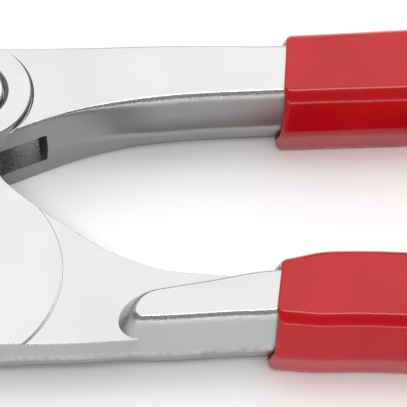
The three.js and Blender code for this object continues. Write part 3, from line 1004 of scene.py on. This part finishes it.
def open_to_sky(tree, reach_mm):
    """One in the open, towards nothing deep in a slot or a corner of the same piece."""
    settings = {"samples": 16, "only_local": True}
    return add_node(tree, "ShaderNodeAmbientOcclusion", settings, {"Distance": reach_mm * MM}, output="AO")


def bump(tree, height, depth_mm, over=None):
    """A normal tilted by the slope of height, where a height of one stands depth_mm high."""
    values = {"Height": height, "Distance": depth_mm * MM, "Strength": 1.0}
    if over is not None:
        values["Normal"] = over
    return add_node(tree, "ShaderNodeBump", {}, values)


print("shader helpers ready")

# %% [markdown]
# ## Satin chrome
# Chrome plate over a shot-blasted forging keeps the blasted skin: tiny soft pebbles under a bright metal.
# Two sizes of noise make the pebbles and the gloss, and the colour is chromium's own grey, a little darker
# than silver. The flanks, found from the surface's own normal, are painted greyer than the faces as shade.
# A painted highlight brightens the trimmed line at mid height, and painted shade darkens deep corners.

# %% Chrome plate material


# painted shadow: the near-black grey that deep corners and slots are painted towards
painted_shadow_grey = (0.09, 0.088, 0.085, 1)


def chrome_plate(name, pebble_depth, gloss, flank_shade_grey, parting_highlight):
    """Blasted skin under bright plate, with painted light: flanks painted darker than flat faces as shade,
    deep places painted nearly black as shade, and a painted highlight along the parting line that takes the
    flanks a given share of the way back to the flat faces' colour."""
    material, tree, place = new_material(name)
    pebbles = noise(tree, place, 1.1, detail=2.0)
    grit = noise(tree, place, 5.0, detail=1.0)
    cloud = noise(tree, place, 0.09, detail=2.0)
    facing = add_node(tree, "ShaderNodeNewGeometry", {}, {}, output="Normal")
    tilt = coordinate(tree, facing, 2)
    # painted shade: flanks, found from the normal, take the darker flank grey instead of the face grey
    flank = 1 - tilt.math("ABSOLUTE").ramp(0.42, 0.6)
    level = coordinate(tree, place, 2) - mid_z * MM
    # painted highlight: a mottled band at the parting line's height is taken back towards the faces' colour
    parting_highlight_band = (1 - level.math("ABSOLUTE").ramp(0.35 * MM, 0.8 * MM)) * pebbles.ramp(0.3, 0.6)
    painted_shade_and_highlight = flank * (1 - parting_highlight_band * parting_highlight)
    # painted shade: ambient occlusion darkens deep corners and slots towards the painted shadow grey
    hollow = 1 - open_to_sky(tree, 3.0).ramp(0.12, 0.42)
    height = pebbles * 0.8 + grit * 0.2
    face_grey = tint(tree, cloud.ramp(0.3, 0.7), (0.54, 0.54, 0.53), (0.58, 0.58, 0.57))
    light = flank_shade_grey * 1.06
    painted_flank_shade = tint(tree, cloud.ramp(0.3, 0.7), (flank_shade_grey,) * 3, (light, light, light * 0.985))
    surface(
        tree,
        {
            "Base Color": mix(tree, hollow, mix(tree, painted_shade_and_highlight, face_grey, painted_flank_shade), painted_shadow_grey),
            "Metallic": 1.0,
            "Roughness": grit.ramp(0.25, 0.75, gloss - 0.03, gloss + 0.04) + pebbles * 0.04 + flank * 0.05,
            "Normal": bump(tree, height, pebble_depth),
        },
    )
    return material


blast_depth = 0.012
plate_gloss = 0.26
# painted shade and highlight: the outer lever's flanks are painted darker than the inner lever's, and its
# parting-line highlight is weaker
for lever, flank_shade_grey, parting_highlight in ((outer_lever, 0.3, 0.08), (inner_lever, 0.385, 0.7)):
    dress(lever, chrome_plate(lever.name + "_chrome", blast_depth, plate_gloss, flank_shade_grey, parting_highlight))
print("chrome plate on", outer_lever.name, "and", inner_lever.name)

# %% [markdown]
# ## Turned steel
# The button and the sleeve were turned, so their surface holds very fine rings round the axis. A wave
# texture in rings round the origin makes the tool marks, broken up by a little noise.

# %% Turned steel and spring steel materials


def turned_steel(name, light, gloss):
    """Fine rings round the joint's axis vary the gloss and tilt the surface; light is the metal's albedo."""
    material, tree, place = new_material(name)
    wobble = noise(tree, place, 0.8, detail=2.0)
    rings = add_node(
        tree,
        "ShaderNodeTexWave",
        {"wave_type": "RINGS", "rings_direction": "Z"},
        {"Vector": place, "Scale": 2.2 / MM, "Distortion": 0.4, "Detail": 1.0},
        output=1,
    )
    surface(
        tree,
        {
            "Base Color": tint(tree, wobble, (0.94 * light,) * 3, (light, light, light * 0.985)),
            "Metallic": 1.0,
            "Roughness": rings.ramp(0.0, 1.0, gloss - 0.03, gloss + 0.05),
            "Normal": bump(tree, rings * 0.7 + wobble * 0.3, 0.0012),
        },
    )
    return material


bright = turned_steel("bright_turned_steel", 0.66, 0.24)
spring_finish = turned_steel("blackened_spring_steel", 0.1, 0.4)
for piece in (button, cup):
    dress(piece, bright)
for piece in (button_snap_ring, sleeve_snap_ring, spring):
    dress(piece, spring_finish)
print("turned steel ready")

# %% [markdown]
# ## Dipped red vinyl
# Dip-moulded vinyl is a deep red with a wet gloss. It sags a little as it sets, so its surface has long soft
# waves and a very fine orange peel, and handling leaves faint dull patches.

# %% Red dip material


def red_dip(name):
    """Red skin with long waves where it sagged, orange peel over them and a little dust in its gloss."""
    material, tree, place = new_material(name)
    peel = noise(tree, place, 0.9, detail=2.0)
    sag = noise(tree, place, 0.12, detail=1.0)
    dust = noise(tree, place, 3.5, detail=3.0, roughness=0.6)
    surface(
        tree,
        {
            "Base Color": tint(tree, sag.ramp(0.25, 0.75), (0.415, 0.003, 0.006), (0.475, 0.004, 0.008)),
            "Roughness": peel.ramp(0.2, 0.8, 0.11, 0.15) + dust * 0.03,
            "IOR": 1.43,
            "Normal": bump(tree, sag, 0.12, over=bump(tree, peel, 0.005)),
        },
    )
    return material


vinyl = red_dip("dipped_red_vinyl")
for grip in (outer_grip, inner_grip):
    dress(grip, vinyl)
print("vinyl on both grips")

# %% [markdown]
# ## Floor, light and camera
# The pliers lie on a plain pale floor in a light tent. A broad soft patch overhead and behind is what the
# flat faces mirror, and a high ring of lamps round the front and sides lights the floor. The tent is darker
# half way down and light again at the horizon, so that each bend in the metal draws a clear line. The camera
# is long and far, and looks down on the joint.

# %% Stage


def stage_floor():
    """A wide pale floor a hair under the pliers, with faint clouds in its colour."""
    side, drop = 1200.0, -0.02
    corners = [(-side, -side, drop), (side, -side, drop), (side, side, drop), (-side, side, drop)]
    floor = mesh_object("floor", corners, [[0, 1, 2, 3]])
    material, tree, place = new_material("pale_floor")
    clouds = tint(tree, noise(tree, place, 0.05), (0.91,) * 3, (0.93,) * 3)
    surface(tree, {"Base Color": clouds, "Roughness": 0.9})
    dress(floor, material)
    return floor


def tent_sky(top, middle, horizon, lamp, slit):
    """Strength by direction: middle everywhere, top in a broad patch that the flat faces mirror, lamp more
    in a high ring round the front and sides, a horizon glow, and a thin bright slit low in front."""
    world = bpy.data.worlds.new("tent")
    bpy.context.scene.world = world
    world.use_nodes = True
    tree = world.node_tree
    tree.nodes.clear()
    direction = add_node(tree, "ShaderNodeTexCoord", {}, {}, output="Generated")
    height = coordinate(tree, direction, 2)
    lean = {0: direction, 1: (0.0, 0.64, 0.77)}
    facing = add_node(tree, "ShaderNodeVectorMath", {"operation": "DOT_PRODUCT"}, lean, output=1)
    overhead = facing.ramp(0.5, 0.68) * height.ramp(0.22, 0.5)
    ring = height.ramp(0.78, 0.82) * (1 - height.ramp(0.9, 0.94)) * (1 - facing.ramp(0.42, 0.56))
    low = height.ramp(-0.02, 0.05) * (1 - height.ramp(0.14, 0.24))
    depth = coordinate(tree, direction, 1)
    front = 1 - depth.ramp(-0.9, -0.6)
    strip = front * height.ramp(0.09, 0.11) * (1 - height.ramp(0.14, 0.16))
    strength = middle + overhead * (top - middle) + ring * lamp
    strength = strength + low * depth.math("ABSOLUTE").ramp(0.3, 0.8, 0.3, horizon) + strip * slit
    background = add_node(tree, "ShaderNodeBackground", {}, {"Color": (1, 1, 1, 1), "Strength": strength})
    add_node(tree, "ShaderNodeOutputWorld", {}, {"Surface": background})


film_width = 36


def place_camera(target, azimuth, elevation, distance, field_width):
    """A long lens aimed at a point, at an azimuth and elevation, that shows field_width at that distance."""
    camera = bpy.data.objects.new("camera", bpy.data.cameras.new("camera"))
    bpy.context.scene.collection.objects.link(camera)
    a, e = np.radians([azimuth, elevation])
    back = np.array([np.sin(a) * np.cos(e), -np.cos(a) * np.cos(e), np.sin(e)])
    camera.location = (np.array(target) + back * distance) * MM
    camera.rotation_euler = (np.pi / 2 - e, 0, a)
    camera.data.sensor_width = film_width
    camera.data.lens = film_width * distance / field_width
    camera.data.clip_start, camera.data.clip_end = 0.05, 20
    bpy.context.scene.camera = camera
    return camera


stage_floor()
tent_sky(top=1.53, middle=0.2, horizon=0.6, lamp=6.0, slit=5.2)
place_camera((31.44, -13.72, mid_z), azimuth=0, elevation=55, distance=1000, field_width=54.95)
bpy.context.scene.view_settings.view_transform = "Standard"
print("stage, sky and camera ready")
